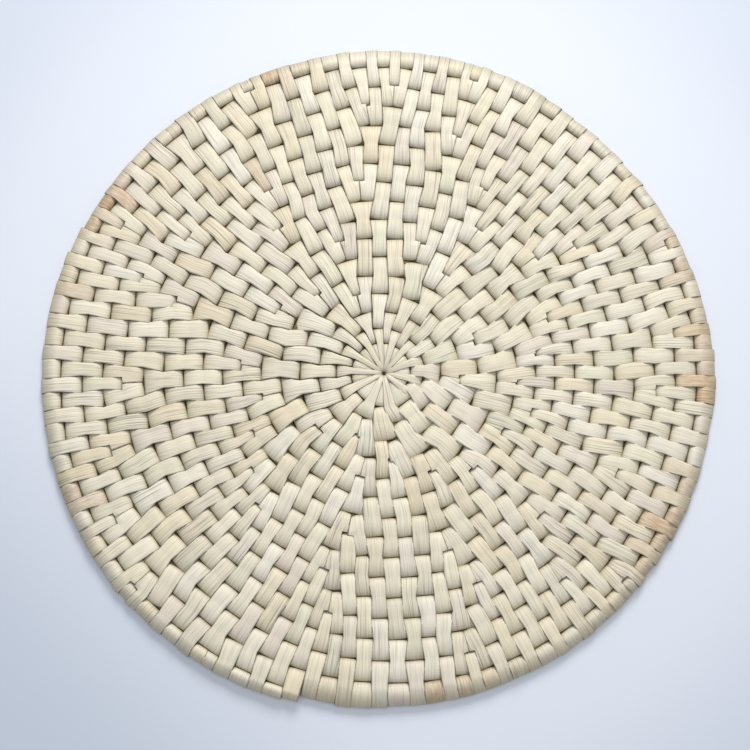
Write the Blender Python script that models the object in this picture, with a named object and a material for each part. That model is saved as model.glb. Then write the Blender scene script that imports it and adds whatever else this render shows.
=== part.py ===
"""A round coiled placemat. One long bundle is wound anticlockwise into a flat spiral and bound turn to
turn, so each turn stands up as a rounded rib on both faces, and its end tapers into the rim.
Metres, +Z up. The mat lies on z = 0 and the middle of its box is the origin."""

import math
from collections import namedtuple

import bmesh
import bpy

# The winding, seen from above and anticlockwise from +X
TURNS = 17.6
STEPS_PER_TURN = 40
TAIL_ANGLE = math.radians(256.0)  # where the bundle ends, in the rim
STRETCH = 0.0078  # the mat is this share longer one way and shorter the other
STRETCH_ANGLE = math.radians(-36.0)
DIMPLE_OFFSET = (0.0, -0.0011)  # the dimple lies a little off the winding's centre
OFFSET_FADES_BY = 2.0  # turns

# The first loop closes round a dimple, which doesn't go through
DIMPLE_RADIUS = 0.0034
DIMPLE_RIM_HEIGHT = 0.0054
DIMPLE_FLOOR_HEIGHT = 0.0030

# Heights over the surface that the mat lies on
CROWN_HEIGHT = 0.0080
SHOULDER_HEIGHT = 0.0072
GROOVE_TOP = 0.0056
GROOVE_BOTTOM = 0.0021
RIM_TOP = 0.0053
RIM_BOTTOM = 0.0022

# Places across one rib, as shares of its width from the inner groove to the outer one
INNER_SHOULDER = 0.20
OUTER_SHOULDER = 0.80
INNER_FOOT = 0.27
OUTER_FOOT = 0.73

# How fast the winding moves outwards: a full turn at this place adds this much to the radius
Pitch = namedtuple("Pitch", "turns metres")
PITCHES = (
    Pitch(0.0, 0.0150),
    Pitch(0.5, 0.0115),
    Pitch(0.9, 0.0064),
    Pitch(3.0, 0.0094),
    Pitch(5.0, 0.0100),
    Pitch(11.0, 0.0102),
    Pitch(17.6, 0.0113),
)

# How far the rim stands out from the even spiral, or in from it where it is negative
Bulge = namedtuple("Bulge", "degrees metres")
RIM_BULGES = (
    Bulge(-104.0, 0.0019),
    Bulge(-97.0, 0.0023),
    Bulge(-84.0, 0.0006),
    Bulge(-65.0, -0.0012),
    Bulge(-35.0, -0.0023),
    Bulge(-14.0, -0.0020),
    Bulge(0.0, -0.0005),
    Bulge(14.0, -0.0019),
    Bulge(40.0, -0.0032),
    Bulge(52.0, -0.0027),
    Bulge(68.0, -0.0004),
    Bulge(90.0, -0.0007),
    Bulge(110.0, -0.0025),
    Bulge(150.0, -0.0028),
    Bulge(163.0, -0.0008),
    Bulge(210.0, -0.0011),
    Bulge(238.0, -0.0026),
    Bulge(248.0, -0.0038),
    Bulge(256.0, -0.0065),
)

STRAW_COLOUR = (0.78, 0.72, 0.55, 1.0)
STRAW_ROUGHNESS = 0.6

STEPS = round(TURNS * STEPS_PER_TURN)
FIRST_RIM_STEP = STEPS - STEPS_PER_TURN


def even_radius(turns):
    """The spiral's radius this many turns from its start, before the mat's own stretch."""
    radius = DIMPLE_RADIUS
    for near, far in zip(PITCHES, PITCHES[1:]):
        span = min(turns, far.turns) - near.turns
        if span <= 0:
            break
        slope = (far.metres - near.metres) / (far.turns - near.turns)
        radius += span * (near.metres + slope * span / 2)
    return radius


def rim_bulge(degrees):
    """The rim's bulge at an angle, eased from one row of the table to the next."""
    for near, far in zip(RIM_BULGES, RIM_BULGES[1:]):
        if degrees <= far.degrees:
            share = (degrees - near.degrees) / (far.degrees - near.degrees)
            ease = (1 - math.cos(math.pi * share)) / 2
            return near.metres + ease * (far.metres - near.metres)
    return RIM_BULGES[-1].metres


def angle_at(step):
    return TAIL_ANGLE - (STEPS - step) * 2 * math.pi / STEPS_PER_TURN


def dimple_point(step):
    """A point of the ring round the dimple."""
    angle = angle_at(step)
    return (
        DIMPLE_OFFSET[0] + DIMPLE_RADIUS * math.cos(angle),
        DIMPLE_OFFSET[1] + DIMPLE_RADIUS * math.sin(angle),
    )


def line_point(step):
    """A point of the line between two turns. Over its last turn that line is the rim."""
    angle = angle_at(step)
    turns = step / STEPS_PER_TURN
    radius = even_radius(turns) * (1 + STRETCH * math.cos(2 * (angle - STRETCH_ANGLE)))
    if step >= FIRST_RIM_STEP:
        radius += rim_bulge(math.degrees(angle))
    fade = max(0.0, 1 - turns / OFFSET_FADES_BY)
    return (
        DIMPLE_OFFSET[0] * fade + radius * math.cos(angle),
        DIMPLE_OFFSET[1] * fade + radius * math.sin(angle),
    )


def between(inner, outer, share):
    """The place that lies this share of the way from one vertex to another, seen from above."""
    return tuple(a + share * (b - a) for a, b in zip(inner.co[:2], outer.co[:2]))


def add_face(bm, corners):
    """Adds a face, leaving out corners that fall together where the bundle runs to a point."""
    kept = []
    for corner in corners:
        if corner not in kept:
            kept.append(corner)
    if len(kept) > 2:
        bm.faces.new(kept)


def add_lines(bm):
    """The dimple's ring and the spiral line between the turns, each as (top, bottom) vertices."""
    ring = []
    for step in range(STEPS_PER_TURN):
        x, y = dimple_point(step)
        ring.append((bm.verts.new((x, y, DIMPLE_RIM_HEIGHT)), bm.verts.new((x, y, 0.0))))
    lines = [ring[0]]
    for step in range(1, STEPS):
        x, y = line_point(step)
        on_rim = step > FIRST_RIM_STEP
        top = RIM_TOP if on_rim else GROOVE_TOP
        bottom = RIM_BOTTOM if on_rim else GROOVE_BOTTOM
        lines.append((bm.verts.new((x, y, top)), bm.verts.new((x, y, bottom))))
    lines.append(lines[FIRST_RIM_STEP])
    return ring, lines


def add_section(bm, inner, outer):
    """The vertices over and under one rib, from its inner line to its outer one."""
    if inner is outer:
        return [inner[0]] * 5, [inner[1]] * 4
    over = [inner[0]]
    for share, height in (
        (INNER_SHOULDER, SHOULDER_HEIGHT),
        (0.5, CROWN_HEIGHT),
        (OUTER_SHOULDER, SHOULDER_HEIGHT),
    ):
        over.append(bm.verts.new((*between(inner[0], outer[0], share), height)))
    under = [inner[1]]
    for share in (INNER_FOOT, OUTER_FOOT):
        under.append(bm.verts.new((*between(inner[1], outer[1], share), 0.0)))
    return over + [outer[0]], under + [outer[1]]


def add_ribs(bm, ring, lines):
    """The ribbed upper face and underside, one step of the winding at a time."""
    inner_lines = ring + lines
    over, under = add_section(bm, inner_lines[0], lines[0])
    for step in range(1, STEPS + 1):
        next_over, next_under = add_section(bm, inner_lines[step], lines[step])
        for k in range(len(over) - 1):
            add_face(bm, (over[k], over[k + 1], next_over[k + 1], next_over[k]))
        for k in range(len(under) - 1):
            add_face(bm, (under[k], next_under[k], next_under[k + 1], under[k + 1]))
        over, under = next_over, next_under


def add_rim(bm, lines):
    """The outer side of the last turn."""
    for step in range(FIRST_RIM_STEP, STEPS):
        here, ahead = lines[step], lines[step + 1]
        add_face(bm, (here[0], here[1], ahead[1], ahead[0]))


def add_dimple(bm, ring):
    """The dimple's floor, and the flat that the middle of the mat rests on."""
    x, y = DIMPLE_OFFSET
    floor = bm.verts.new((x, y, DIMPLE_FLOOR_HEIGHT))
    foot = bm.verts.new((x, y, 0.0))
    for here, ahead in zip(ring, ring[1:] + ring[:1]):
        add_face(bm, (here[0], ahead[0], floor))
        add_face(bm, (here[1], foot, ahead[1]))


def centre_on_origin(bm):
    for axis in (0, 1):
        values = [vertex.co[axis] for vertex in bm.verts]
        middle = (min(values) + max(values)) / 2
        for vertex in bm.verts:
            vertex.co[axis] -= middle


def straw_material():
    material = bpy.data.materials.new("straw")
    material.use_nodes = True
    shader = material.node_tree.nodes["Principled BSDF"]
    shader.inputs["Base Color"].default_value = STRAW_COLOUR
    shader.inputs["Roughness"].default_value = STRAW_ROUGHNESS
    shader.inputs["Metallic"].default_value = 0.0
    return material


def make_mat():
    bm = bmesh.new()
    ring, lines = add_lines(bm)
    add_ribs(bm, ring, lines)
    add_rim(bm, lines)
    add_dimple(bm, ring)
    centre_on_origin(bm)
    bmesh.ops.triangulate(bm, faces=bm.faces[:])
    mesh = bpy.data.meshes.new("mat")
    bm.to_mesh(mesh)
    bm.free()
    mesh.shade_smooth()
    mesh.set_sharp_from_angle(angle=math.radians(50))
    mesh.materials.append(straw_material())
    mat = bpy.data.objects.new("mat", mesh)
    bpy.context.scene.collection.objects.link(mat)


for old in list(bpy.data.objects):
    bpy.data.objects.remove(old, do_unlink=True)
make_mat()
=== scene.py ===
"""The looks of a round coiled placemat: one wound bundle, bound turn to turn with pale split strips.
Metres, +Z up. Angles run anticlockwise from +X, seen from above. A place along the winding is given in
turns from its start, and a line is the groove between two turns, which over its last turn is the rim."""

import math
import random
from collections import namedtuple

import bmesh
import bpy
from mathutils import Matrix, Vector


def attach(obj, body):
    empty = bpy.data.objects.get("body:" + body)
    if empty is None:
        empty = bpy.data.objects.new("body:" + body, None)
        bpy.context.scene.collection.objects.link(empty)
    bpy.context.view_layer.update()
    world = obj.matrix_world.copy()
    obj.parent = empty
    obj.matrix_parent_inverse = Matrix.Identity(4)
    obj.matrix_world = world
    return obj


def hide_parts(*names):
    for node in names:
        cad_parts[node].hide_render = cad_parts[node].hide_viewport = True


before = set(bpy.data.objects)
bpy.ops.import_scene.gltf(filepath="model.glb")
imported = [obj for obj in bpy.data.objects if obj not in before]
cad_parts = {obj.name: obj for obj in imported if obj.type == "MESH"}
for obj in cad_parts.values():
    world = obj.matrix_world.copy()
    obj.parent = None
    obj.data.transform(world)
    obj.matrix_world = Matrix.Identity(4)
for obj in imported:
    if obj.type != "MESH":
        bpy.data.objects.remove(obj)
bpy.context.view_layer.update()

# Camera, nearly overhead and tilted a little towards the near side
CAMERA_TILT = math.radians(8.0)
CAMERA_DISTANCE = 0.75
CAMERA_TARGET = Vector((-0.0019, -0.0040, 0.008))
CAMERA_LENS = 69.5

# The winding, as in the part
TURNS = 17.6
STEPS_PER_TURN = 40
TAIL_ANGLE = math.radians(256.0)
STRETCH = 0.0078
STRETCH_ANGLE = math.radians(-36.0)
DIMPLE_OFFSET = Vector((0.0, -0.0011, 0.0))
OFFSET_FADES_BY = 2.0  # turns
DIMPLE_RADIUS = 0.0034
CROWN_HEIGHT = 0.0080
COIL = 0.0102  # the usual width of one turn

Pitch = namedtuple("Pitch", "turns metres")
PITCHES = (
    Pitch(0.0, 0.0150),
    Pitch(0.5, 0.0115),
    Pitch(0.9, 0.0064),
    Pitch(3.0, 0.0094),
    Pitch(5.0, 0.0100),
    Pitch(11.0, 0.0102),
    Pitch(17.6, 0.0113),
)
Bulge = namedtuple("Bulge", "degrees metres")
RIM_BULGES = (
    Bulge(-104.0, 0.0019),
    Bulge(-97.0, 0.0023),
    Bulge(-84.0, 0.0006),
    Bulge(-65.0, -0.0012),
    Bulge(-35.0, -0.0023),
    Bulge(-14.0, -0.0020),
    Bulge(0.0, -0.0005),
    Bulge(14.0, -0.0019),
    Bulge(40.0, -0.0032),
    Bulge(52.0, -0.0027),
    Bulge(68.0, -0.0004),
    Bulge(90.0, -0.0007),
    Bulge(110.0, -0.0025),
    Bulge(150.0, -0.0028),
    Bulge(163.0, -0.0008),
    Bulge(210.0, -0.0011),
    Bulge(238.0, -0.0026),
    Bulge(248.0, -0.0038),
    Bulge(256.0, -0.0065),
)

# The bundle under the strips
BUNDLE_CROWN = 0.0068
BUNDLE_FOOT = 0.0010
BUNDLE_FILL = 1.0  # share of a turn's width that it fills
RIM_BUNDLE_FILL = 0.74  # the same over the last turn, where the strips need room round the rim
BUNDLE_SIDES = 12
BUNDLE_STEPS = 48  # a turn
BUNDLE_ENDS_AT = 17.52  # turns

# The binding: every long strip passes over two turns, and its middle crosses the line where the ends of
# the strips of the turns before and after it go down
TAIL_PLACE = 1.6  # a place at the tail's angle, from which the first row's angles are counted
FIRST_ROW_DEGREES = (320, 345, 380, 410, 435, 457, 478, 510, 538, 565, 605, 635)
COUNTED_FROM = 1.717  # turns, just before the first row, where the table of strips a turn starts
STRIPS_A_TURN = (12, 12, 12, 16, 20, 24, 32, 34, 40, 43, 48, 51, 56, 60, 65, 70, 72)
FIRST_ROW = len(FIRST_ROW_DEGREES)
NEIGHBOURS = 3  # how many strips on each side a strip keeps an even distance from
SEED = 252

# Where two strips start in one gap between strips. How far a strip moves there is a share of the gap
DOUBLING_ODDS = (0.45, 0.95)  # how many strips have to be owed before two start there
SPARSE_WEIGHT = 2.5  # how much it counts that the strips stand too far apart around it
PARTNER_SPREAD = 0.22  # how far each of the two starts from the gap's middle
NEAR_PUSH = 0.12  # how far the strips beside the gap give way
FAR_PUSH = 0.05  # how far the ones beyond them do
LOOSENESS = 0.05  # how far off the middle a strip starts that has a gap to itself

# The strips' widths
MIDDLE_SHARE = 0.46  # of the room along a line that a strip's middle takes
MIDDLE_SPREAD = (0.93, 1.07)
NARROWEST_MIDDLE = 0.0036
WIDEST_MIDDLE = 0.0095
NARROWEST_END = 0.001
TUCK = 0.0004  # how far an end goes under its neighbours on each side
PARTNER_OVERLAP = 0.0003  # how far two strips in one gap spread over each other
PARTNER_WAIST = 18.0  # how suddenly they leave room for the strip that goes down between them
SPOKE_TIP_RADIUS = 0.0008  # how near the dimple's centre the first row's strips go down
SPOKE_TIP_WIDTH = 0.0019
HEART_MIDDLE_SHARE = 0.45  # of the room between two spokes that a wrap of the first loop takes
HEART_END_SHARE = 0.62  # the same at its outer end

# How unevenly the strips lie
RIPPLE = 0.0005
LIFT_SPREAD = (-0.00012, 0.00016)
ROLL_SPREAD = (-0.00020, 0.00020)  # at a strip's edge
RIM_UNEVENNESS = 0.0003  # how far a strip stands out at the rim, or in
UNDER_SLANT = 0.125  # of the room for one strip, by which it slants each way under the mat
SHORTEST_WRAP = 0.0045  # where the last turn is narrower than this, the long strips cover it alone

# A strip's run: coils outwards from its inner line, height in crowns, and how much painted shade it
# takes, a dark olive tone for the shade down in a groove and round the side of the rim
Bend = namedtuple("Bend", "coils height sunk")
UPPER_RUN = (
    Bend(0.0, 0.56, 1.0),
    Bend(0.015, 0.66, 0.72),
    Bend(0.06, 0.76, 0.36),
    Bend(0.14, 0.855, 0.12),
    Bend(0.27, 0.94, 0.03),
    Bend(0.45, 0.995, 0.0),
    Bend(0.72, 1.01, 0.0),
    Bend(0.94, 0.985, 0.0),
    Bend(1.0, 0.98, 0.0),
    Bend(1.20, 0.995, 0.0),
    Bend(1.42, 0.98, 0.03),
    Bend(1.60, 0.935, 0.09),
    Bend(1.76, 0.87, 0.18),
    Bend(1.88, 0.79, 0.30),
    Bend(1.95, 0.71, 0.50),
    Bend(1.985, 0.64, 0.75),
    Bend(2.0, 0.56, 1.0),
)
UNDER_RUN = (
    Bend(2.0, 0.40, 1.0),
    Bend(1.985, 0.24, 0.85),
    Bend(1.93, 0.12, 0.5),
    Bend(1.80, 0.03, 0.15),
    Bend(1.5, 0.0, 0.0),
    Bend(1.25, 0.01, 0.0),
    Bend(1.0, 0.03, 0.05),
    Bend(0.75, 0.01, 0.0),
    Bend(0.5, 0.0, 0.0),
    Bend(0.25, 0.02, 0.1),
    Bend(0.10, 0.11, 0.5),
    Bend(0.03, 0.24, 0.85),
    Bend(0.0, 0.40, 1.0),
)
RIM_SIDE = (
    Bend(1.34, 0.955, 0.16),
    Bend(1.52, 0.87, 0.30),
    Bend(1.69, 0.76, 0.42),
    Bend(1.84, 0.63, 0.50),
    Bend(1.95, 0.49, 0.54),
    Bend(2.0, 0.36, 0.56),
    Bend(1.975, 0.24, 0.55),
    Bend(1.90, 0.13, 0.5),
    Bend(1.75, 0.05, 0.3),
)
SHARED_BENDS = 10  # how many bends a rim strip shares with an upper one
RIM_RUN = UPPER_RUN[:SHARED_BENDS] + RIM_SIDE + UNDER_RUN[4:]
RIM_TURNS_BACK = SHARED_BENDS + 5  # the place in the run where the strip turns back under the rim
# The wraps of one coil alone, in half coils: round the last turn, and over the first loop
SHORT_RUN = (
    Bend(0.0, 0.56, 1.0),
    Bend(0.03, 0.66, 0.72),
    Bend(0.12, 0.76, 0.36),
    Bend(0.28, 0.855, 0.12),
    Bend(0.54, 0.935, 0.06),
    Bend(0.84, 0.95, 0.14),
    Bend(1.16, 0.885, 0.27),
    Bend(1.46, 0.77, 0.40),
    Bend(1.72, 0.63, 0.48),
    Bend(1.91, 0.49, 0.54),
    Bend(2.0, 0.36, 0.56),
    Bend(1.95, 0.24, 0.55),
    Bend(1.80, 0.13, 0.5),
    Bend(1.5, 0.04, 0.3),
    Bend(1.0, 0.0, 0.0),
    Bend(0.5, 0.02, 0.1),
    Bend(0.20, 0.11, 0.5),
    Bend(0.06, 0.24, 0.85),
    Bend(0.0, 0.40, 1.0),
)
SHORT_TURNS_BACK = 10
HEART_RUN = (
    Bend(0.0, 0.48, 1.0),
    Bend(0.3, 0.74, 0.6),
    Bend(0.8, 0.90, 0.3),
    Bend(1.3, 0.94, 0.1),
    Bend(1.7, 0.92, 0.1),
    Bend(1.90, 0.86, 0.3),
    Bend(1.97, 0.76, 0.7),
    Bend(2.0, 0.60, 1.0),
)
# The floor of the dimple, from the middle of its top to the middle of its underside
Ring = namedtuple("Ring", "radius height")
HEART_SIDES = 24
HEART_PROFILE = (
    Ring(0.0, 0.0034),
    Ring(0.0014, 0.0036),
    Ring(0.0028, 0.0042),
    Ring(0.0040, 0.0048),
    Ring(0.0045, 0.0042),
    Ring(0.0045, 0.0030),
    Ring(0.0038, 0.0022),
    Ring(0.0018, 0.0024),
    Ring(0.0, 0.0025),
)
# Across a strip: place from edge to edge, and how far it lies below the strip's face
Edge = namedtuple("Edge", "across drop")
SECTION = (
    Edge(-1.0, 0.00026),
    Edge(-0.82, 0.00006),
    Edge(0.0, 0.0),
    Edge(0.82, 0.00006),
    Edge(1.0, 0.00026),
)

# Colours as the eye reads them, out of 255
CREAM = (233, 223, 199)
PALE = (237, 229, 211)
GREENISH = (229, 222, 196)
WARM_STRAW = (231, 217, 188)
PINKISH = (231, 218, 201)
# Painted shade in the grooves, round the rim's side and along the strips' edges; also the darker of the
# bundle's own colours
GROOVE_OLIVE = (112, 98, 54)
STAIN_BROWN = (188, 140, 90)
BUNDLE_BROWN = (136, 120, 80)
FLOOR_WHITE = (227, 231, 240)
# Painted shade: the darker, bluer floor colour towards one corner and towards the sides
FLOOR_PAINTED_SHADE = (199, 206, 219)
TONES = (GREENISH, CREAM, PALE, CREAM, WARM_STRAW, CREAM, PINKISH)

# The finish of the strips and the bundle, and the painted shade on the strips
STRIP_FIBRE_WIDTH = 0.00040
BUNDLE_FIBRE_WIDTH = 0.0006
FIBRE_STRETCH = 40.0  # how much longer than wide a fibre's marks are
BRIGHTNESS_SPREAD = (0.95, 1.03)
RIBBINGS = (0.0, 0.1, 0.2, 0.35, 0.6)  # how clearly a strip is ribbed, from smooth to coarse
HOLLOW_SHADE = 0.90  # how light the hollows between the fibres are
FIBRE_SHADE = 0.20  # how much lighter the fibres' crests are than the hollows between them
RIDGE_SHADE = 0.14
LINE_SHADE = 0.10  # how dark a split line is on a smooth strip
RIBBED_LINE_SHADE = 0.30  # how much darker it gets with the ribbing
STREAK_TINT = 0.22
# Painted shade: how far the strips go to the dark olive down in the grooves and round the rim's side, and
# along their edges for the shadow in the gaps between strips
GROOVE_PAINTED_SHADE = 0.85
GROOVE_FALLOFF = 1.3
EDGE_PAINTED_SHADE = 0.12
EDGE_FROM = 0.86  # where it starts, from the strip's middle to its edge
BLOTCHES_ACROSS = 900.0  # a metre
BLOTCHES_ALONG = 160.0
BLOTCH_LEVELS = (0.30, 0.66)  # of the noise, from the palest spots of a stain to the darkest
BLOTCH_DEPTHS = (0.35, 1.1)  # how brown those are
SEED_STEP = 50.0  # how far one strip's noise lies from the next one's

# The fibres' noise. A scale is how many marks there are in a fibre's width, and in its length
FIBRE_SEED_STEP = 37.0  # how far one strip's fibres lie from the next one's
FIBRE_LEVELS = (0.32, 0.68)  # of the noise, from a hollow to a crest
STREAK_SCALE = (0.20, 0.8)
STREAK_LEVELS = (0.50, 0.72)
LINE_SCALE = (0.62, 0.5)
LINE_LEVELS = (0.55, 0.68)
LINE_SHIFT = 9.0  # keeps the lines from following the streaks
LINE_RELIEF = 0.5
RIDGE_SCALE = 1.9
RIDGE_BEND = 3.5

# Brown marks, most of them on the rim. A mark's reach is measured round the mat, each way
Stain = namedtuple("Stain", "degrees radius reach strength")
STAIN_DEPTH = 0.0055  # its reach outwards and inwards
STAIN_SHARPNESS = 2.5
STAIN_SPREAD = (0.75, 1.0)
STAINS = (
    Stain(5, 0.168, 0.015, 0.55),
    Stain(18, 0.168, 0.012, 0.50),
    Stain(24, 0.168, 0.010, 0.30),
    Stain(108, 0.168, 0.012, 0.80),
    Stain(147, 0.168, 0.014, 0.70),
    Stain(153, 0.168, 0.014, 0.60),
    Stain(166, 0.168, 0.010, 0.30),
    Stain(203, 0.168, 0.012, 0.55),
    Stain(280, 0.168, 0.020, 0.75),
    Stain(288, 0.168, 0.010, 0.35),
    Stain(323, 0.168, 0.014, 0.50),
    Stain(331, 0.168, 0.014, 0.65),
    Stain(339, 0.168, 0.012, 0.40),
    Stain(357, 0.168, 0.012, 0.70),
    Stain(121, 0.118, 0.008, 0.35),
    Stain(236, 0.153, 0.008, 0.40),
    Stain(330, 0.132, 0.008, 0.30),
)

# The studio
FLOOR_HALF = 2.5
FLOOR_DROP = 0.0001  # under the mat
FLOOR_ROUGHNESS = 0.6
# Painted shade on the floor: its colour goes darker and bluer towards one corner and towards every side
DIM_SIDE = (-0.75, -0.66)  # the way to the floor's corner with the most painted shade
DIM_CORNER = (0.10, 0.26)  # from where to where it dims that way
DIM_EDGE = (0.18, 0.30)  # from where to where it dims on every side
DIM_EDGE_SHARE = 0.7
SKY = (0.86, 0.92, 1.0, 1.0)
SKY_STRENGTH = 0.46
Light = namedtuple("Light", "name place size power colour")
LIGHTS = (
    Light("key", (0.17, 1.12, 0.90), 0.60, 15.3, (1.0, 0.98, 0.95)),
    Light("overhead", (0.0, 0.1, 1.3), 0.9, 3.6, (0.98, 0.99, 1.0)),
)


def linear(colour):
    """A colour out of 255 as the linear values that a shader takes."""
    values = []
    for value in colour:
        value /= 255
        values.append(value / 12.92 if value <= 0.04045 else ((value + 0.055) / 1.055) ** 2.4)
    return (*values, 1.0)


def add_camera():
    camera = bpy.data.cameras.new("camera")
    camera.lens = CAMERA_LENS
    holder = bpy.data.objects.new("camera", camera)
    holder.rotation_euler = (CAMERA_TILT, 0.0, 0.0)
    back = Vector((0.0, -math.sin(CAMERA_TILT), math.cos(CAMERA_TILT)))
    holder.location = CAMERA_TARGET + CAMERA_DISTANCE * back
    bpy.context.scene.collection.objects.link(holder)
    bpy.context.scene.camera = holder


# The winding's lines


def even_radius(turns):
    """The spiral's radius this many turns from its start, before the mat's own stretch."""
    radius = DIMPLE_RADIUS
    for near, far in zip(PITCHES, PITCHES[1:]):
        span = min(turns, far.turns) - near.turns
        if span <= 0:
            break
        slope = (far.metres - near.metres) / (far.turns - near.turns)
        radius += span * (near.metres + slope * span / 2)
    return radius


def rim_bulge(degrees):
    """The rim's bulge at an angle, eased from one row of the table to the next."""
    for near, far in zip(RIM_BULGES, RIM_BULGES[1:]):
        if degrees <= far.degrees:
            share = (degrees - near.degrees) / (far.degrees - near.degrees)
            ease = (1 - math.cos(math.pi * share)) / 2
            return near.metres + ease * (far.metres - near.metres)
    return RIM_BULGES[-1].metres


def angle_at(turns):
    return TAIL_ANGLE + (turns - TURNS) * 2 * math.pi


def ring_point(turns):
    """A point of the ring round the dimple."""
    angle = angle_at(turns)
    return DIMPLE_OFFSET + DIMPLE_RADIUS * Vector((math.cos(angle), math.sin(angle), 0.0))


def line_point(turns):
    """A point of the line between two turns, before the mat is centred on the origin."""
    if turns < 0:
        return ring_point(turns)
    angle = angle_at(turns)
    radius = even_radius(turns) * (1 + STRETCH * math.cos(2 * (angle - STRETCH_ANGLE)))
    if turns >= TURNS - 1:
        radius += rim_bulge(math.degrees(angle))
    fade = max(0.0, 1 - turns / OFFSET_FADES_BY)
    return DIMPLE_OFFSET * fade + radius * Vector((math.cos(angle), math.sin(angle), 0.0))


def box_middle():
    """The middle of the rim's box, which the part has at its origin."""
    steps = [TURNS - 1 + step / STEPS_PER_TURN for step in range(STEPS_PER_TURN)]
    points = [line_point(turns) for turns in steps]
    low = [min(point[axis] for point in points) for axis in (0, 1)]
    high = [max(point[axis] for point in points) for axis in (0, 1)]
    return Vector(((low[0] + high[0]) / 2, (low[1] + high[1]) / 2, 0.0))


MIDDLE = box_middle()


def on_line(turns):
    """A point of a line in the part's own frame."""
    return line_point(min(turns, TURNS)) - MIDDLE


# Laying out the binding


class Strip:
    """One pass of the binding strip over the upper face. All its places are counted on its outer line:
    the inner end itself lies two turns before the place given for it, and the middle one turn."""

    def __init__(self, inner, partner=0):
        self.inner = inner
        self.partner = partner  # -1 or 1 where two strips share one gap, for the first or the second
        self.middle = inner
        self.outer = inner
        self.push = 0.0  # how far its middle is pushed aside
        self.widths = [0.0, 0.0, 0.0]

    def wraps_rim(self):
        return self.outer >= TURNS - 1

    def is_short(self):
        return self.inner >= TURNS


def strips_wanted(turns):
    """How many strips a full turn holds at this place of the winding."""
    last = len(STRIPS_A_TURN) - 1.001  # a little short of the last row, so that there is a next one
    row = max(0.0, min(turns - COUNTED_FROM - 0.5, last))
    near = int(row)
    return STRIPS_A_TURN[near] + (row - near) * (STRIPS_A_TURN[near + 1] - STRIPS_A_TURN[near])


def evened(strips, index):
    """Where a strip would stand if it kept the same distance from its neighbours as they do."""
    reach = min(index, NEIGHBOURS)
    total, weight = 0.0, 0.0
    for offset in range(-reach, reach + 1):
        share = NEIGHBOURS + 1 - abs(offset)
        total += share * strips[index + offset].inner
        weight += share
    return total / weight


def turns_at(degrees):
    """The place in the first row that lies at this angle."""
    return TAIL_PLACE + (degrees - math.degrees(TAIL_ANGLE)) / 360


def lay_out_strips():
    """Every strip in working order. Each next strip starts between two strips of the turn before, and
    where the mat has grown wide enough, two start there."""
    rng = random.Random(SEED)
    strips = [Strip(turns_at(degrees)) for degrees in FIRST_ROW_DEGREES]
    gaps = []
    owed = 0.0
    parent = 0
    while True:
        near, far = strips[parent], strips[parent + 1]
        for index in (parent, parent + 1):
            strips[index].middle = (strips[index].inner + evened(strips, index)) / 2 + strips[index].push
        gap = far.middle - near.middle
        middle = 1 + (near.middle + far.middle) / 2
        if middle > TURNS + 1:
            break
        first, last = max(parent - 2, 0), parent + 3
        local_gap = (strips[last].inner - strips[first].inner) / (last - first)
        sparse = local_gap * strips_wanted(middle) - 1
        owed += strips_wanted(middle) / strips_wanted(middle - 1) - 1
        gaps.append([len(strips)])
        partners = near.partner == -1 and far.partner == 1
        if owed + SPARSE_WEIGHT * sparse > rng.uniform(*DOUBLING_ODDS) and not partners:
            strips.append(Strip(middle - PARTNER_SPREAD * gap, partner=-1))
            strips.append(Strip(middle + PARTNER_SPREAD * gap, partner=1))
            gaps[-1].append(len(strips) - 1)
            owed -= 1
            push_aside(strips, parent, gap)
        else:
            strips.append(Strip(middle + rng.uniform(-LOOSENESS, LOOSENESS) * gap))
        parent += 1
    strips = [strip for strip in strips if strip.inner < TURNS + 1]
    fit_strips(strips, gaps, rng)
    return strips


def push_aside(strips, parent, gap):
    """Makes the strips beside a gap give way to the two that start in it."""
    pushes = (
        (parent - 1, -FAR_PUSH),
        (parent, -NEAR_PUSH),
        (parent + 1, NEAR_PUSH),
        (parent + 2, FAR_PUSH),
    )
    for index, share in pushes:
        strips[max(index, 0)].push += share * gap
    strips[parent].middle -= NEAR_PUSH * gap
    strips[parent + 1].middle += NEAR_PUSH * gap


def metres_a_turn(turns):
    return 2 * math.pi * on_line(turns).length


def own_room(strips, index, place):
    """Half the way, in metres, between the neighbours of a strip, at their middles or outer ends."""
    before, after = strips[max(index - 1, 0)], strips[index + 1]
    turns = getattr(after, place) - getattr(before, place)
    line = strips[index].middle - 1 if place == "middle" else strips[index].middle
    return turns * metres_a_turn(line) / (2 if index else 1)


def fit_strips(strips, gaps, rng):
    """Sets every strip's widths, and turns its ends into the gaps that its neighbours leave."""
    longs = [strip for strip in strips if not strip.is_short()]
    for index, strip in enumerate(longs):
        width = MIDDLE_SHARE * own_room(strips, index, "middle") * rng.uniform(*MIDDLE_SPREAD)
        strip.widths[1] = max(NARROWEST_MIDDLE, min(width, WIDEST_MIDDLE))
    for parent, children in enumerate(gaps):
        line = strips[parent].middle - 1
        fit_inner_ends(strips, parent, children, "middle", 1, metres_a_turn(line))
    for index, strip in enumerate(longs):
        left = gaps[index - 1][-1] if index else gaps[0][0]
        right = gaps[index][0] if index < len(gaps) else left
        if strip.middle >= TURNS - 1 or right >= len(longs) or left == right:
            strip.outer = strip.middle
        else:
            fit_outer_end(strip, strips[left], strips[right])
    for index, strip in enumerate(longs[:-1]):
        if strip.widths[2] == 0.0:
            strip.widths[2] = MIDDLE_SHARE * own_room(longs, index, "outer")
    longs[-1].widths[2] = longs[-1].widths[1]
    for parent, children in enumerate(gaps):
        if children[0] >= len(longs) and parent + 1 < len(longs):
            fit_inner_ends(strips, parent, children, "outer", 2, metres_a_turn(strips[parent].outer))
    for index in range(FIRST_ROW):
        strips[index].widths[0] = SPOKE_TIP_WIDTH


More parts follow.
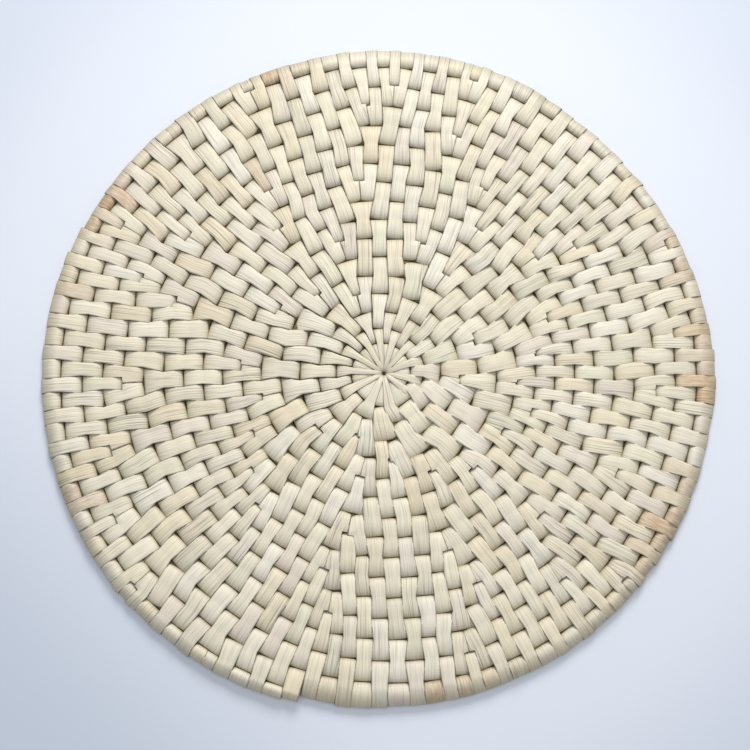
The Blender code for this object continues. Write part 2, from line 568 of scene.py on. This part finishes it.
def fit_inner_ends(strips, parent, children, place, end, metres):
    """Puts strips into the gap between two strips of the turn before, at the inner line or the rim."""
    near, far = strips[parent], strips[parent + 1]
    low = getattr(near, place) + near.widths[end] / 2 / metres
    high = getattr(far, place) - far.widths[end] / 2 / metres
    share = (high - low) / len(children)
    for count, child in enumerate(children):
        if child >= len(strips):
            continue
        spot = low + (count + 0.5) * share
        width = max(share * metres, NARROWEST_END) + 2 * TUCK / len(children)
        if end == 1:
            strips[child].inner = spot + 1
            strips[child].widths[0] = width
        else:
            strips[child].outer = spot
            strips[child].widths[2] = width
            strips[child].widths[1] = (strips[child].widths[0] + width) / 2


def fit_outer_end(strip, left, right):
    """Puts a strip's outer end in the gap between two strips of the next turn."""
    metres = metres_a_turn(strip.middle)
    low = left.middle - 1 + left.widths[1] / 2 / metres
    high = right.middle - 1 - right.widths[1] / 2 / metres
    strip.outer = (low + high) / 2
    strip.widths[2] = max((high - low) * metres, NARROWEST_END) + 2 * TUCK


# Nodes


class Wiring:
    """Adds nodes to a tree and joins them, so that a formula reads from left to right."""

    def __init__(self, tree):
        self.tree = tree

    def add(self, kind, inputs, output=0, **settings):
        node = self.tree.nodes.new(kind)
        node.location = (190 * len(self.tree.nodes), 0)
        for name, value in settings.items():
            setattr(node, name, value)
        for socket, value in inputs.items():
            self.feed(node.inputs[socket], value)
        return node.outputs[output]

    def feed(self, socket, value):
        if isinstance(value, bpy.types.NodeSocket):
            self.tree.links.new(value, socket)
        else:
            socket.default_value = value

    def math(self, operation, *values):
        inputs = dict(enumerate(values))
        return self.add("ShaderNodeMath", inputs, operation=operation)

    def vector(self, operation, *values):
        inputs = dict(enumerate(values))
        return self.add("ShaderNodeVectorMath", inputs, operation=operation)

    def scaled(self, vector, scale):
        return self.add("ShaderNodeVectorMath", {0: vector, "Scale": scale}, operation="SCALE")

    def xyz(self, x, y, z):
        return self.add("ShaderNodeCombineXYZ", {0: x, 1: y, 2: z})

    def split(self, vector):
        return self.add("ShaderNodeSeparateXYZ", {0: vector}).node.outputs

    def ease(self, value, low, high, to_low=0.0, to_high=1.0):
        inputs = {0: value, 1: low, 2: high, 3: to_low, 4: to_high}
        return self.add("ShaderNodeMapRange", inputs, interpolation_type="SMOOTHSTEP")

    def blend(self, share, near, far, mode="MIX"):
        inputs = {0: share, 6: near, 7: far}
        return self.add("ShaderNodeMix", inputs, output=2, data_type="RGBA", blend_type=mode)

    def point_value(self, name):
        return self.add("GeometryNodeInputNamedAttribute", {"Name": name}, data_type="FLOAT")

    def point_vector(self, name):
        return self.add("GeometryNodeInputNamedAttribute", {"Name": name}, data_type="FLOAT_VECTOR")

    def store(self, geometry, name, value, kind="FLOAT_VECTOR"):
        inputs = {"Geometry": geometry, "Name": name, "Value": value}
        return self.add("GeometryNodeStoreNamedAttribute", inputs, data_type=kind, domain="POINT")

    def noise(self, vector, detail, roughness=0.5):
        inputs = {"Vector": vector, "Scale": 1.0, "Detail": detail, "Roughness": roughness}
        return self.add("ShaderNodeTexNoise", inputs)

    def surface_value(self, name):
        return self.add("ShaderNodeAttribute", {}, output=2, attribute_name=name)

    def surface_vector(self, name):
        return self.add("ShaderNodeAttribute", {}, output=1, attribute_name=name)


def new_tree(name, inputs):
    """A Geometry Nodes tree with these inputs, and its input node."""
    tree = bpy.data.node_groups.new(name, "GeometryNodeTree")
    tree.interface.new_socket("Geometry", in_out="OUTPUT", socket_type="NodeSocketGeometry")
    for label, kind in inputs:
        tree.interface.new_socket(label, in_out="INPUT", socket_type=kind)
    return tree, tree.nodes.new("NodeGroupInput").outputs


def finish_tree(wiring, geometry, material):
    """Realizes what a tree made, smooths it and gives it its material."""
    geometry = wiring.add("GeometryNodeRealizeInstances", {0: geometry})
    geometry = wiring.add("GeometryNodeSetShadeSmooth", {"Geometry": geometry})
    geometry = wiring.add("GeometryNodeSetMaterial", {"Geometry": geometry, "Material": material})
    output = wiring.tree.nodes.new("NodeGroupOutput")
    wiring.tree.links.new(geometry, output.inputs[0])


def strip_tree():
    """Lays a strip blank on every point and bends it over the turns of the winding."""
    tree, given = new_tree(
        "bind strips",
        (
            ("Geometry", "NodeSocketGeometry"),
            ("Blank", "NodeSocketObject"),
            ("Ripple", "NodeSocketFloat"),
            ("Seed", "NodeSocketFloat"),
            ("Material", "NodeSocketMaterial"),
        ),
    )
    w = Wiring(tree)
    own = w.math("ADD", w.point_value("seed"), given["Seed"])
    blank = w.add("GeometryNodeObjectInfo", {"Object": given["Blank"]}, output="Geometry")
    flat = w.add("GeometryNodeInputPosition", {})
    blank = w.store(blank, "blank", flat)
    laid = w.add("GeometryNodeInstanceOnPoints", {"Points": given["Geometry"], "Instance": blank})
    strips = w.add("GeometryNodeRealizeInstances", {0: laid})
    across, coils, height = w.split(w.point_vector("blank"))
    inner, middle, outer = (w.point_vector(name) for name in ("inner", "middle", "outer"))
    width_in, width_middle, width_out = w.split(w.point_vector("widths"))
    first = w.math("MINIMUM", coils, 1.0)
    second = w.math("MAXIMUM", w.math("SUBTRACT", coils, 1.0), 0.0)
    over = w.vector("ADD", inner, w.scaled(w.vector("SUBTRACT", middle, inner), first))
    over = w.vector("ADD", over, w.scaled(w.vector("SUBTRACT", outer, middle), second))
    back_share = w.math("SUBTRACT", 1.0, w.math("DIVIDE", coils, 2.0))
    back = w.vector("SUBTRACT", w.point_vector("under"), outer)
    back = w.vector("ADD", outer, w.scaled(back, back_share))
    turned = w.point_value("turned")
    centre = w.add("ShaderNodeMix", {0: turned, 4: over, 5: back}, output=1, data_type="VECTOR")
    run = w.split(w.vector("NORMALIZE", w.vector("SUBTRACT", outer, inner)))
    side = w.xyz(run[1], w.math("MULTIPLY", run[0], -1.0), 0.0)
    width = w.math("ADD", width_in, w.math("MULTIPLY", w.math("SUBTRACT", width_middle, width_in), first))
    growth = w.math("MULTIPLY", w.math("SUBTRACT", width_out, width_middle), second)
    half = w.math("DIVIDE", w.math("ADD", width, growth), 2.0)
    sideways = w.math("MULTIPLY", across, half)
    bulge = w.point_value("bulge")
    reach = w.math("MULTIPLY", w.math("SUBTRACT", 1.0, coils), PARTNER_WAIST)
    reach = w.math("MAXIMUM", w.math("MINIMUM", coils, reach), 0.0)
    reach = w.math("MULTIPLY", reach, w.math("MAXIMUM", w.math("MULTIPLY", across, bulge), 0.0))
    sideways = w.math("ADD", sideways, w.math("MULTIPLY", reach, w.math("SIGN", bulge)))
    grain = w.xyz(sideways, w.point_value("along"), w.point_value("seed"))
    ripple = w.xyz(across, w.math("MULTIPLY", coils, 1.6), w.math("MULTIPLY", own, SEED_STEP))
    ripple = w.math("SUBTRACT", w.noise(ripple, detail=1.0), 0.5)
    lift = w.math("ADD", w.point_value("lift"), w.math("MULTIPLY", w.point_value("roll"), across))
    lift = w.math("ADD", lift, w.math("MULTIPLY", ripple, given["Ripple"]))
    lift = w.math("MULTIPLY", lift, w.math("SUBTRACT", 1.0, turned))
    height = w.math("MAXIMUM", w.math("ADD", height, lift), 0.0)
    place = w.vector("ADD", centre, w.scaled(side, sideways))
    place = w.vector("ADD", place, w.xyz(0.0, 0.0, height))
    strips = w.add("GeometryNodeSetPosition", {"Geometry": strips, "Position": place})
    strips = w.store(strips, "grain", grain)
    strips = w.store(strips, "edge", w.math("ABSOLUTE", across), kind="FLOAT")
    finish_tree(w, strips, given["Material"])
    return tree


def bundle_tree():
    """Sweeps a round bundle along the winding, between its inner line and its outer one."""
    tree, given = new_tree(
        "wind bundle",
        (
            ("Geometry", "NodeSocketGeometry"),
            ("Sides", "NodeSocketInt"),
            ("Crown", "NodeSocketFloat"),
            ("Foot", "NodeSocketFloat"),
            ("Fill", "NodeSocketFloat"),
            ("Material", "NodeSocketMaterial"),
        ),
    )
    w = Wiring(tree)
    circle = w.add("GeometryNodeCurvePrimitiveCircle", {"Resolution": given["Sides"], "Radius": 1.0})
    circle = w.store(circle, "round", w.add("GeometryNodeInputPosition", {}))
    winding = w.add("GeometryNodeMeshToCurve", {0: given["Geometry"]})
    inputs = {"Curve": winding, "Profile Curve": circle, "Fill Caps": True}
    tube = w.add("GeometryNodeCurveToMesh", inputs)
    x, y, _ = w.split(w.point_vector("round"))
    share = w.math("MULTIPLY_ADD", w.math("MULTIPLY", x, given["Fill"]), 0.5, 0.5)
    inner, outer = w.point_vector("inner"), w.point_vector("outer")
    place = w.vector("ADD", inner, w.scaled(w.vector("SUBTRACT", outer, inner), share))
    rise = w.math("MULTIPLY_ADD", y, 0.5, 0.5)
    height = w.math("SUBTRACT", given["Crown"], given["Foot"])
    height = w.math("ADD", given["Foot"], w.math("MULTIPLY", rise, height))
    place = w.vector("ADD", place, w.xyz(0.0, 0.0, height))
    tube = w.add("GeometryNodeSetPosition", {"Geometry": tube, "Position": place})
    across = w.math("MULTIPLY", x, COIL / 2)
    tube = w.store(tube, "grain", w.xyz(across, w.point_value("along"), y))
    finish_tree(w, tube, given["Material"])
    return tree


# Materials


def fibre_group():
    """Long dry fibres: what a split strip and the bundle share. Grain is the place across and along a
    strip in metres, with a number of the strip's own as its third value."""
    tree = bpy.data.node_groups.new("plant fibre", "ShaderNodeTree")
    tree.interface.new_socket("Grain", in_out="INPUT", socket_type="NodeSocketVector")
    tree.interface.new_socket("Fibre Width", in_out="INPUT", socket_type="NodeSocketFloat")
    tree.interface.new_socket("Ribbing", in_out="INPUT", socket_type="NodeSocketFloat")
    for label in ("Fibres", "Lines", "Streaks", "Relief"):
        tree.interface.new_socket(label, in_out="OUTPUT", socket_type="NodeSocketFloat")
    w = Wiring(tree)
    given = tree.nodes.new("NodeGroupInput").outputs
    across, along, own = w.split(given["Grain"])
    across = w.math("DIVIDE", across, given["Fibre Width"])
    along = w.math("DIVIDE", along, w.math("MULTIPLY", given["Fibre Width"], FIBRE_STRETCH))
    own = w.math("MULTIPLY", own, FIBRE_SEED_STEP)
    fine = w.noise(w.xyz(across, along, own), detail=3.0, roughness=0.6)
    # Streaks a few fibres wide
    broad = w.noise(scaled_grain(w, across, along, own, STREAK_SCALE), detail=2.0)
    # A few thin dark lines, where the skin is about to split
    shifted = w.math("ADD", own, LINE_SHIFT)
    lines = w.noise(scaled_grain(w, across, along, shifted, LINE_SCALE), detail=1.0)
    lines = w.ease(lines, *LINE_LEVELS)
    # Even ridges along the strip, which the streaks bend a little
    bent = w.math("MULTIPLY_ADD", broad, RIDGE_BEND, w.math("MULTIPLY", across, RIDGE_SCALE))
    ridges = w.math("MULTIPLY_ADD", w.math("SINE", bent), 0.5, 0.5)
    relief = w.add("ShaderNodeMix", {0: given["Ribbing"], 2: fine, 3: ridges}, data_type="FLOAT")
    relief = w.math("SUBTRACT", relief, w.math("MULTIPLY", lines, LINE_RELIEF))
    output = tree.nodes.new("NodeGroupOutput")
    w.feed(output.inputs["Fibres"], w.ease(fine, *FIBRE_LEVELS))
    w.feed(output.inputs["Lines"], lines)
    w.feed(output.inputs["Streaks"], w.ease(broad, *STREAK_LEVELS))
    w.feed(output.inputs["Relief"], relief)
    return tree


def scaled_grain(w, across, along, own, scale):
    """A strip's grain, stretched for noise that is wider or longer than single fibres."""
    return w.xyz(w.math("MULTIPLY", across, scale[0]), w.math("MULTIPLY", along, scale[1]), own)


def new_material(name):
    material = bpy.data.materials.new(name)
    material.use_nodes = True
    shader = material.node_tree.nodes["Principled BSDF"]
    return material, shader, Wiring(material.node_tree)


def fibres(w, group, width, ribbing):
    """Places the fibre group and returns its outputs."""
    node = w.tree.nodes.new("ShaderNodeGroup")
    node.node_tree = group
    w.feed(node.inputs["Grain"], w.surface_vector("grain"))
    node.inputs["Fibre Width"].default_value = width
    w.feed(node.inputs["Ribbing"], ribbing)
    return node.outputs


def ramp(w, value, colours):
    """A colour for every value from 0 to 1, through these colours at even steps."""
    socket = w.add("ShaderNodeValToRGB", {0: value})
    stops = socket.node.color_ramp.elements
    for index in range(1, len(colours) - 1):
        stops.new(index / (len(colours) - 1))
    for index, colour in enumerate(colours):
        stops[index].color = linear(colour)
    return socket


def strip_material(group):
    """Split bamboo skin: pale, satin, finely fibred, each strip a tint of its own, with painted shade in
    the grooves, round the rim's side and along the strips' edges.
    """
    material, shader, w = new_material("split_bamboo")
    ribbed = w.surface_value("ribbed")
    outputs = fibres(w, group, STRIP_FIBRE_WIDTH, ribbed)
    colour = ramp(w, w.surface_value("tone"), TONES)
    shade = w.math("MULTIPLY_ADD", outputs["Fibres"], FIBRE_SHADE, HOLLOW_SHADE)
    shade = w.math("MULTIPLY", shade, w.surface_value("bright"))
    ridge_shade = w.math("MULTIPLY", ribbed, w.math("SUBTRACT", 1.0, outputs["Relief"]))
    shade = w.math("SUBTRACT", shade, w.math("MULTIPLY", ridge_shade, RIDGE_SHADE))
    line_depth = w.math("MULTIPLY_ADD", ribbed, RIBBED_LINE_SHADE, LINE_SHADE)
    shade = w.math("SUBTRACT", shade, w.math("MULTIPLY", outputs["Lines"], line_depth))
    colour = w.blend(1.0, colour, w.xyz(shade, shade, shade), mode="MULTIPLY")
    colour = w.blend(w.math("MULTIPLY", outputs["Streaks"], STREAK_TINT), colour, linear(WARM_STRAW))
    across, along, own = w.split(w.surface_vector("grain"))
    across = w.math("MULTIPLY", across, BLOTCHES_ACROSS)
    along = w.math("MULTIPLY", along, BLOTCHES_ALONG)
    blotch = w.xyz(across, along, w.math("MULTIPLY", own, SEED_STEP))
    blotch = w.noise(blotch, detail=3.0, roughness=0.6)
    blotch = w.ease(blotch, *BLOTCH_LEVELS, *BLOTCH_DEPTHS)
    blotch = w.math("MULTIPLY", blotch, w.surface_value("stain"))
    colour = w.blend(blotch, colour, linear(STAIN_BROWN))
    # Painted shade: dark olive where the strip goes down into a groove and round the rim's side
    groove = w.math("POWER", w.surface_value("sunk"), GROOVE_FALLOFF)
    groove = w.math("MULTIPLY", groove, GROOVE_PAINTED_SHADE)
    colour = w.blend(groove, colour, linear(GROOVE_OLIVE))
    # Painted shade: a thin dark olive band along the strip's edges, for the shadow in the gaps between
    # strips
    edge = w.ease(w.surface_value("edge"), EDGE_FROM, 1.0, 0.0, EDGE_PAINTED_SHADE)
    colour = w.blend(edge, colour, linear(GROOVE_OLIVE))
    w.feed(shader.inputs["Base Color"], colour)
    w.feed(shader.inputs["Roughness"], w.math("MULTIPLY_ADD", outputs["Fibres"], 0.20, 0.42))
    inputs = {"Strength": 0.7, "Distance": 0.00018, "Height": outputs["Relief"]}
    w.feed(shader.inputs["Normal"], w.add("ShaderNodeBump", inputs))
    return material


def bundle_material(group):
    """The bundle's own stalks, seen only in the small gaps between strips, and the dimple's floor."""
    material, shader, w = new_material("bundle_stalks")
    outputs = fibres(w, group, BUNDLE_FIBRE_WIDTH, 0.0)
    colour = w.blend(outputs["Fibres"], linear(GROOVE_OLIVE), linear(BUNDLE_BROWN))
    w.feed(shader.inputs["Base Color"], colour)
    w.feed(shader.inputs["Roughness"], w.math("MULTIPLY_ADD", outputs["Streaks"], 0.2, 0.65))
    inputs = {"Strength": 0.9, "Distance": 0.0004, "Height": outputs["Relief"]}
    w.feed(shader.inputs["Normal"], w.add("ShaderNodeBump", inputs))
    return material


# Making the pieces

# What only the trees read
TREE_VALUES = (
    "inner",
    "middle",
    "outer",
    "under",
    "widths",
    "bulge",
    "lift",
    "roll",
    "seed",
    "along",
    "turned",
    "blank",
    "round",
)


def run_tree(name, mesh, tree, values):
    """Runs a tree over a mesh and keeps the result as a plain piece."""
    piece = bpy.data.objects.new(name, mesh)
    bpy.context.scene.collection.objects.link(piece)
    modifier = piece.modifiers.new(tree.name, "NODES")
    modifier.node_group = tree
    sockets = {item.name: item.identifier for item in tree.interface.items_tree if item.in_out == "INPUT"}
    for label, value in values.items():
        modifier[sockets[label]] = value
    depsgraph = bpy.context.evaluated_depsgraph_get()
    made = piece.evaluated_get(depsgraph)
    result = bpy.data.meshes.new_from_object(made, preserve_all_data_layers=True, depsgraph=depsgraph)
    piece.modifiers.remove(modifier)
    piece.data = result
    result.name = name
    return piece


def drop_attributes(piece):
    """Drops the values that only the tree needed."""
    attributes = piece.data.attributes
    for name in TREE_VALUES:
        if name in attributes:
            attributes.remove(attributes[name])


def point_mesh(name, points, edges=()):
    """A mesh of bare points. Each point is a dictionary of numbers and vectors, kept as attributes."""
    mesh = bpy.data.meshes.new(name)
    mesh.from_pydata([point["place"] for point in points], edges, [])
    for key, value in points[0].items():
        if key == "place":
            continue
        kind, field = ("FLOAT_VECTOR", "vector") if len_of(value) == 3 else ("FLOAT", "value")
        attribute = mesh.attributes.new(key, kind, "POINT")
        if kind == "FLOAT":
            attribute.data.foreach_set(field, [point[key] for point in points])
        else:
            attribute.data.foreach_set(field, [number for point in points for number in point[key]])
    return mesh


def len_of(value):
    return 1 if isinstance(value, (int, float)) else len(value)


def make_blank(name, run, coil, turns_back_at, material):
    """A strip before it is laid: x runs across it from edge to edge, y outwards and z up."""
    places = [Vector((bend.coils * coil, bend.height * CROWN_HEIGHT)) for bend in run]
    bm = bmesh.new()
    layers = {key: bm.verts.layers.float.new(key) for key in ("along", "sunk", "turned")}
    rows = []
    along = 0.0
    for index, bend in enumerate(run):
        before, after = places[max(index - 1, 0)], places[min(index + 1, len(places) - 1)]
        course = (after - before).normalized()
        out = Vector((-course.y, course.x))
        along += (places[index] - before).length
        row = []
        for edge in SECTION:
            y, z = places[index] - out * edge.drop
            vertex = bm.verts.new((edge.across, y / coil, z))
            vertex[layers["along"]] = along
            # Painted shade: how dark olive the strip is painted here, for the shade in a groove and round
            # the rim's side
            vertex[layers["sunk"]] = bend.sunk
            vertex[layers["turned"]] = float(turns_back_at is not None and index > turns_back_at)
            row.append(vertex)
        rows.append(row)
    for near, far in zip(rows, rows[1:]):
        for k in range(len(SECTION) - 1):
            bm.faces.new((near[k], near[k + 1], far[k + 1], far[k]))
        bm.faces.new((near[0], far[0], far[-1], near[-1]))
    bm.faces.new([rows[0][0]] + rows[0][:0:-1])
    bm.faces.new(rows[-1])
    mesh = bpy.data.meshes.new(name)
    bm.to_mesh(mesh)
    bm.free()
    mesh.materials.append(material)
    blank = bpy.data.objects.new(name, mesh)
    bpy.context.scene.collection.objects.link(blank)
    return blank


def stain_at(place, rng):
    """How brown a strip is here, from 0 to 1."""
    deepest = 0.0
    for stain in STAINS:
        angle = math.radians(stain.degrees)
        out = Vector((math.cos(angle), math.sin(angle), 0.0))
        away = place - stain.radius * out
        outwards = away.dot(out)
        sideways = (away - outwards * out).length
        near = 1 - math.hypot(outwards / STAIN_DEPTH, sideways / stain.reach)
        deepest = max(deepest, stain.strength * min(1.0, max(0.0, near) * STAIN_SHARPNESS))
    return deepest * rng.uniform(*STAIN_SPREAD)


def finish_values(place, seed, rng):
    """What sets one strip's finish apart from the next one's."""
    return {
        "seed": seed,
        "tone": rng.random(),
        "bright": rng.uniform(*BRIGHTNESS_SPREAD),
        "ribbed": rng.choice(RIBBINGS),
        "stain": stain_at(place, rng),
    }


def partner_bulge(strips, index):
    """How far a strip spreads towards the one that starts in the same gap, so that no hole is left."""
    strip = strips[index]
    if strip.partner == 0 or not 0 < index < len(strips) - 1:
        return 0.0
    other = strips[index - strip.partner]
    apart = abs(other.middle - strip.middle) * metres_a_turn(strip.middle - 1)
    hole = apart - strip.widths[1] / 2 - other.widths[1] / 2
    return strip.partner * max(0.0, hole / 2 + PARTNER_OVERLAP)


def strip_points(strips, kind):
    """One point for each strip of a kind: heart, upper, under, rim or short."""
    rng = random.Random(f"{SEED} {kind}")
    points = []
    if kind == "heart":
        return heart_points(strips, rng)
    for index, strip in enumerate(strips):
        if kind != strip_kind(strip) and not (kind == "under" and strip_kind(strip) == "upper"):
            continue
        slant = 0.0 if kind == "short" else UNDER_SLANT / strips_wanted(strip.middle)
        inner, middle, outer = on_line(strip.inner - 2), on_line(strip.middle - 1), on_line(strip.outer)
        under = on_line(strip.inner - 2 - slant)
        if index < FIRST_ROW:
            inner, under = tip_of_spoke(inner), tip_of_spoke(under)
        if strip.wraps_rim():
            # The long strips stand out over the short ones
            proud = rng.uniform(-RIM_UNEVENNESS, RIM_UNEVENNESS)
            proud += (0.5 if kind == "rim" else -0.5) * RIM_UNEVENNESS
            outer += outer.normalized() * proud
        if kind == "under":
            inner, outer = under, on_line(strip.outer + slant)
        if kind == "short":
            middle = (inner + outer) / 2
            if (outer - inner).length < SHORTEST_WRAP:
                continue
        bulge = 0.0 if kind == "under" else partner_bulge(strips, index)
        points.append(one_strip(inner, middle, outer, under, strip.widths, bulge, rng))
    return points


def tip_of_spoke(point):
    """The point over the dimple where a strip of the first row goes down."""
    heart = DIMPLE_OFFSET - MIDDLE
    return heart + (point - heart).normalized() * SPOKE_TIP_RADIUS


def heart_points(strips, rng):
    """The wraps of the first loop, which show between the first row's strips."""
    points = []
    for near, far in zip(strips[:FIRST_ROW], strips[1 : FIRST_ROW + 1]):
        turns = (near.middle + far.middle) / 2 - 1
        outer = on_line(turns)
        inner = tip_of_spoke(outer)
        room = (far.middle - near.middle) * metres_a_turn(turns)
        widths = [NARROWEST_END, HEART_MIDDLE_SHARE * room, HEART_END_SHARE * room]
        points.append(one_strip(inner, (inner + outer) / 2, outer, inner, widths, 0.0, rng))
    return points


def one_strip(inner, middle, outer, under, widths, bulge, rng):
    return {
        "place": middle,
        "inner": inner,
        "middle": middle,
        "outer": outer,
        "under": under,
        "widths": widths,
        "bulge": bulge,
        "lift": rng.uniform(*LIFT_SPREAD),
        "roll": rng.uniform(*ROLL_SPREAD),
        **finish_values(middle, rng.random(), rng),
    }


def strip_kind(strip):
    if strip.is_short():
        return "short"
    return "rim" if strip.wraps_rim() else "upper"


def bundle_points():
    points = []
    along = 0.0
    before = None
    count = round(BUNDLE_ENDS_AT * BUNDLE_STEPS)
    for step in range(count + 1):
        turns = step / BUNDLE_STEPS
        inner = (ring_point(turns) - MIDDLE) if turns < 1 else on_line(turns - 1)
        outer = on_line(turns)
        if turns >= TURNS - 1:
            outer = inner.lerp(outer, RIM_BUNDLE_FILL)
        place = (inner + outer) / 2
        along += (place - before).length if before else 0.0
        before = place
        points.append({"place": place, "inner": inner, "outer": outer, "along": along})
    return points


def make_bundle(material):
    points = bundle_points()
    edges = [(k, k + 1) for k in range(len(points) - 1)]
    values = {
        "Sides": BUNDLE_SIDES,
        "Crown": BUNDLE_CROWN,
        "Foot": BUNDLE_FOOT,
        "Fill": BUNDLE_FILL,
        "Material": material,
    }
    bundle = run_tree("bundle", point_mesh("winding", points, edges), bundle_tree(), values)
    drop_attributes(bundle)
    return bundle


def make_heart_floor(material):
    """The closed floor of the dimple, dished on top, which the spokes' tips go down to."""
    bm = bmesh.new()
    grain = bm.verts.layers.float_vector.new("grain")
    heart = DIMPLE_OFFSET - MIDDLE
    rings = []
    for radius, height in HEART_PROFILE:
        ring = []
        for step in range(HEART_SIDES if radius else 1):
            angle = 2 * math.pi * step / HEART_SIDES
            ring.append(bm.verts.new((radius * math.cos(angle), radius * math.sin(angle), height)))
        rings.append(ring)
    for vertex in bm.verts:
        vertex[grain] = (vertex.co.x, vertex.co.y, 0.0)
        vertex.co += heart
    for near, far in zip(rings, rings[1:]):
        for step in range(HEART_SIDES):
            after = (step + 1) % HEART_SIDES
            corners = [near[step % len(near)], far[step % len(far)]]
            corners += [far[after % len(far)], near[after % len(near)]]
            bm.faces.new(dict.fromkeys(corners))
    bmesh.ops.recalc_face_normals(bm, faces=bm.faces[:])
    mesh = bpy.data.meshes.new("heart_floor")
    bm.to_mesh(mesh)
    bm.free()
    mesh.shade_smooth()
    mesh.materials.append(material)
    floor = bpy.data.objects.new("heart_floor", mesh)
    bpy.context.scene.collection.objects.link(floor)
    return floor


def make_strips(material):
    """The upper, under, rim and short strips, each kind as one piece."""
    strips = lay_out_strips()
    tree = strip_tree()
    kinds = (
        ("heart", HEART_RUN, COIL / 2, None),
        ("upper", UPPER_RUN, COIL, None),
        ("under", UNDER_RUN, COIL, None),
        ("rim", RIM_RUN, COIL, RIM_TURNS_BACK),
        ("short", SHORT_RUN, COIL / 2, SHORT_TURNS_BACK),
    )
    pieces = []
    for kind, run, coil, turns_back_at in kinds:
        blank = make_blank(kind + "_blank", run, coil, turns_back_at, material)
        ripple = 0.0 if kind == "under" else RIPPLE
        values = {"Blank": blank, "Ripple": ripple, "Seed": float(SEED), "Material": material}
        points = point_mesh(kind + "_points", strip_points(strips, kind))
        piece = run_tree(kind + "_strips", points, tree, values)
        drop_attributes(piece)
        bpy.data.objects.remove(blank, do_unlink=True)
        pieces.append(piece)
    return pieces


# Studio


def add_floor():
    bm = bmesh.new()
    bmesh.ops.create_grid(bm, x_segments=1, y_segments=1, size=FLOOR_HALF)
    mesh = bpy.data.meshes.new("floor")
    bm.to_mesh(mesh)
    bm.free()
    floor = bpy.data.objects.new("floor", mesh)
    floor.location.z = -FLOOR_DROP
    bpy.context.scene.collection.objects.link(floor)
    material, shader, w = new_material("studio_floor")
    shader.inputs["Roughness"].default_value = FLOOR_ROUGHNESS
    # Painted shade: the floor's colour goes from white to a darker, bluer tone towards one corner and
    # towards every side
    place = w.add("ShaderNodeTexCoord", {}, output="Object")
    x, y, _ = w.split(place)
    sideways, nearer = DIM_SIDE
    aside = w.math("ADD", w.math("MULTIPLY", x, sideways), w.math("MULTIPLY", y, nearer))
    away = w.add("ShaderNodeVectorMath", {0: place}, output=1, operation="LENGTH")
    corner = w.ease(aside, *DIM_CORNER)
    edge = w.ease(away, *DIM_EDGE, to_high=DIM_EDGE_SHARE)
    share = w.math("MAXIMUM", corner, edge)
    w.feed(shader.inputs["Base Color"], w.blend(share, linear(FLOOR_WHITE), linear(FLOOR_PAINTED_SHADE)))
    mesh.materials.append(material)


def add_light(wanted):
    """A round lamp that shines on the mat."""
    lamp = bpy.data.lights.new(wanted.name, "AREA")
    lamp.shape = "DISK"
    lamp.size = wanted.size
    lamp.energy = wanted.power
    lamp.color = wanted.colour
    holder = bpy.data.objects.new(wanted.name, lamp)
    holder.location = wanted.place
    holder.rotation_euler = (-Vector(wanted.place)).to_track_quat("-Z", "Y").to_euler()
    bpy.context.scene.collection.objects.link(holder)


def light_studio():
    world = bpy.data.worlds.new("studio")
    bpy.context.scene.world = world
    world.use_nodes = True
    background = world.node_tree.nodes["Background"]
    background.inputs["Color"].default_value = SKY
    background.inputs["Strength"].default_value = SKY_STRENGTH
    for wanted in LIGHTS:
        add_light(wanted)
    bpy.context.scene.view_settings.view_transform = "Standard"


add_camera()
group = fibre_group()
stalks = bundle_material(group)
bundle = make_bundle(stalks)
strips = [make_heart_floor(stalks)] + make_strips(strip_material(group))
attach(bundle, "root")
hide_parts("mat")
for piece in strips:
    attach(piece, "root")
add_floor()
light_studio()
